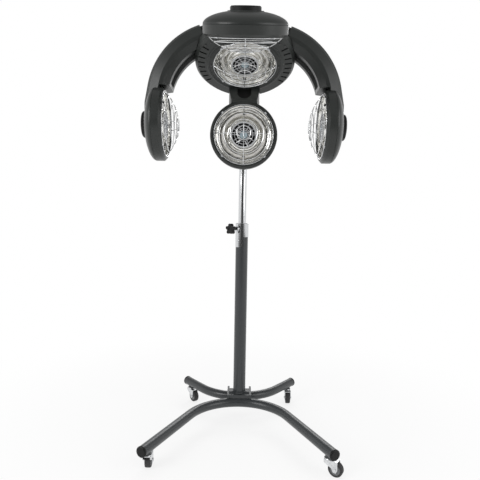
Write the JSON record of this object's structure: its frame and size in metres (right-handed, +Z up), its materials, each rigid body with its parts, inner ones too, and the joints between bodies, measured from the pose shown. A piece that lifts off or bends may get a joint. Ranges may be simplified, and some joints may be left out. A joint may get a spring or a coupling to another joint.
{
  "type": "hair color processor",
  "caption": "Salon hair processor: ring-lamp heads with fans on curved arms round the client's head, on a height-adjustable column with caster base.",
  "frame": {"origin": "on the floor, on the axis of the column", "axes": "+Z up, -Y towards the client and the front, +X to the right seen from the front"},
  "size_m": [0.622, 0.7633, 1.3366],
  "materials": {
    "head_plastic": "semi-gloss charcoal moulding",
    "black_plastic": "satin black",
    "reflector": "bright pressed rings",
    "lamp": "frosted quartz",
    "fan_frame": "black moulding",
    "fan_impeller": "gloss blue-grey",
    "guard_wire": "polished wire",
    "tube_paint": "dark grey powder coat",
    "bracket_paint": "dark powder coat",
    "chrome": "polished",
    "screw_steel": "blackened",
    "pad_nylon": "plain",
    "fork_zinc": "zinc plated",
    "wheel_rubber": "dark grey"
  },
  "bodies": {
    "stand": {"front_leg_tube": "tube_paint", "rear_leg_tube": "tube_paint", "leg_end_caps": "black_plastic", "base_hub": "tube_paint", "lower_tube": "tube_paint", "clamp_collar": "chrome"},
    "clamp_pad": {"pressure_pad": "pad_nylon"},
    "clamp_knob": {"clamp_knob": "black_plastic"},
    "pole": {"upper_pole": "chrome"},
    "bracket": {"head_bracket": "bracket_paint"},
    "centre_head": {"front_housing": "head_plastic", "rear_housing": "head_plastic", "mains_inlet": "black_plastic", "hub_screws": "screw_steel", "bottom_shell": "head_plastic", "centre_reflector": "reflector", "centre_lamp": "lamp", "centre_fan_frame": "fan_frame", "centre_guard": "guard_wire", "bottom_cap": "black_plastic", "bottom_reflector": "reflector", "bottom_lamp": "lamp", "bottom_fan_frame": "fan_frame", "bottom_guard": "guard_wire"},
    "rocker": {"power_rocker": "black_plastic"},
    "dial": {"timer_dial": "black_plastic"},
    "left_head": {"left_arm": "head_plastic", "left_shell": "head_plastic", "left_cap": "black_plastic", "left_reflector": "reflector", "left_lamp": "lamp", "left_fan_frame": "fan_frame", "left_guard": "guard_wire"},
    "right_head": {"right_arm": "head_plastic", "right_shell": "head_plastic", "right_cap": "black_plastic", "right_reflector": "reflector", "right_lamp": "lamp", "right_fan_frame": "fan_frame", "right_guard": "guard_wire"},
    "top_head": {"top_arm": "head_plastic", "top_shell": "head_plastic", "top_cap": "black_plastic", "top_reflector": "reflector", "top_lamp": "lamp", "top_fan_frame": "fan_frame", "top_guard": "guard_wire"},
    "left_fan": {"left_fan_impeller": "fan_impeller"},
    "right_fan": {"right_fan_impeller": "fan_impeller"},
    "top_fan": {"top_fan_impeller": "fan_impeller"},
    "bottom_fan": {"bottom_fan_impeller": "fan_impeller"},
    "centre_fan": {"centre_fan_impeller": "fan_impeller"},
    "front_left_fork": {"front_left_caster_fork": "fork_zinc"},
    "front_left_wheel": {"front_left_caster_wheel": "wheel_rubber"},
    "front_right_fork": {"front_right_caster_fork": "fork_zinc"},
    "front_right_wheel": {"front_right_caster_wheel": "wheel_rubber"},
    "rear_left_fork": {"rear_left_caster_fork": "fork_zinc"},
    "rear_left_wheel": {"rear_left_caster_wheel": "wheel_rubber"},
    "rear_right_fork": {"rear_right_caster_fork": "fork_zinc"},
    "rear_right_wheel": {"rear_right_caster_wheel": "wheel_rubber"}
  },
  "joints": [
    {"name": "front_left_swivel", "type": "hinge", "parent": "stand", "child": "front_left_fork", "pos_m": [-0.26592, -0.36049, 0.055], "axis": [0, 0, 1], "continuous": true},
    {"name": "front_left_roll", "type": "hinge", "parent": "front_left_fork", "child": "front_left_wheel", "pos_m": [-0.26592, -0.33849, 0.022], "axis": [-1, 0, 0], "continuous": true},
    {"name": "front_right_swivel", "type": "hinge", "parent": "stand", "child": "front_right_fork", "pos_m": [0.26592, -0.36049, 0.055], "axis": [0, 0, 1], "continuous": true},
    {"name": "front_right_roll", "type": "hinge", "parent": "front_right_fork", "child": "front_right_wheel", "pos_m": [0.28457, -0.37215, 0.022], "axis": [0.5299, 0.848, 0], "continuous": true},
    {"name": "rear_left_swivel", "type": "hinge", "parent": "stand", "child": "rear_left_fork", "pos_m": [-0.19556, 0.163, 0.055], "axis": [0, 0, 1], "continuous": true},
    {"name": "rear_left_roll", "type": "hinge", "parent": "rear_left_fork", "child": "rear_left_wheel", "pos_m": [-0.18232, 0.14543, 0.022], "axis": [0.7986, 0.6018, 0], "continuous": true},
    {"name": "rear_right_swivel", "type": "hinge", "parent": "stand", "child": "rear_right_fork", "pos_m": [0.19556, 0.163, 0.055], "axis": [0, 0, 1], "continuous": true},
    {"name": "rear_right_roll", "type": "hinge", "parent": "rear_right_fork", "child": "rear_right_wheel", "pos_m": [0.19556, 0.141, 0.022], "axis": [1, 0, 0], "continuous": true},
    {"name": "clamp_pad_slide", "type": "slide", "parent": "stand", "child": "clamp_pad", "axis": [-0.7071, -0.7071, 0], "range_m": [0, 0.00125]},
    {"name": "clamp_knob_turn", "type": "hinge", "parent": "clamp_pad", "child": "clamp_knob", "pos_m": [-0.03536, -0.03536, 0.704], "axis": [-0.7071, -0.7071, 0], "range_deg": [0, 360]},
    {"name": "height_slide", "type": "slide", "parent": "stand", "child": "pole", "axis": [0, 0, 1], "range_m": [-0.19, 0.27]},
    {"name": "head_pan", "type": "hinge", "parent": "pole", "child": "bracket", "pos_m": [0, 0, 1.17], "axis": [0, 0, 1], "range_deg": [-90, 90]},
    {"name": "head_tilt", "type": "hinge", "parent": "bracket", "child": "centre_head", "pos_m": [0, -0.048, 1.195], "axis": [1, 0, 0], "range_deg": [-20, 12]},
    {"name": "left_arm_swing", "type": "hinge", "parent": "centre_head", "child": "left_head", "pos_m": [-0.14235, -0.228, 1.31322], "axis": [0, 1, 0], "range_deg": [0, 25]},
    {"name": "right_arm_swing", "type": "hinge", "parent": "centre_head", "child": "right_head", "pos_m": [0.14235, -0.228, 1.31322], "axis": [0, -1, 0], "range_deg": [0, 25]},
    {"name": "top_arm_lift", "type": "hinge", "parent": "centre_head", "child": "top_head", "pos_m": [0, -0.32546, 1.33048], "axis": [-1, 0, 0], "range_deg": [0, 20]},
    {"name": "power_press", "type": "hinge", "parent": "centre_head", "child": "rocker", "pos_m": [0, -0.14201, 1.25024], "axis": [0, 0.9191, -0.3939], "range_deg": [0, 10]},
    {"name": "timer_turn", "type": "hinge", "parent": "centre_head", "child": "dial", "pos_m": [-0.046, -0.13479, 1.25693], "axis": [0, 0.3939, 0.9191], "range_deg": [-300, 0]},
    {"name": "left_fan_spin", "type": "hinge", "parent": "left_head", "child": "left_fan", "pos_m": [-0.2675, -0.235, 1.028], "axis": [1, 0, 0], "continuous": true},
    {"name": "right_fan_spin", "type": "hinge", "parent": "right_head", "child": "right_fan", "pos_m": [0.2675, -0.235, 1.028], "axis": [-1, 0, 0], "continuous": true},
    {"name": "top_fan_spin", "type": "hinge", "parent": "top_head", "child": "top_fan", "pos_m": [0, -0.464, 1.239], "axis": [0, 0.3827, -0.9239], "continuous": true},
    {"name": "bottom_fan_spin", "type": "hinge", "parent": "centre_head", "child": "bottom_fan", "pos_m": [0, -0.135, 1.015], "axis": [0, -1, 0], "continuous": true},
    {"name": "centre_fan_spin", "type": "hinge", "parent": "centre_head", "child": "centre_fan", "pos_m": [0, -0.225, 1.214], "axis": [0, -0.3939, -0.9191], "continuous": true}
  ],
  "couplings": [
    {"joint": "clamp_knob_turn", "follows": "clamp_pad_slide", "rad_per_m": 5025.1}
  ]
}
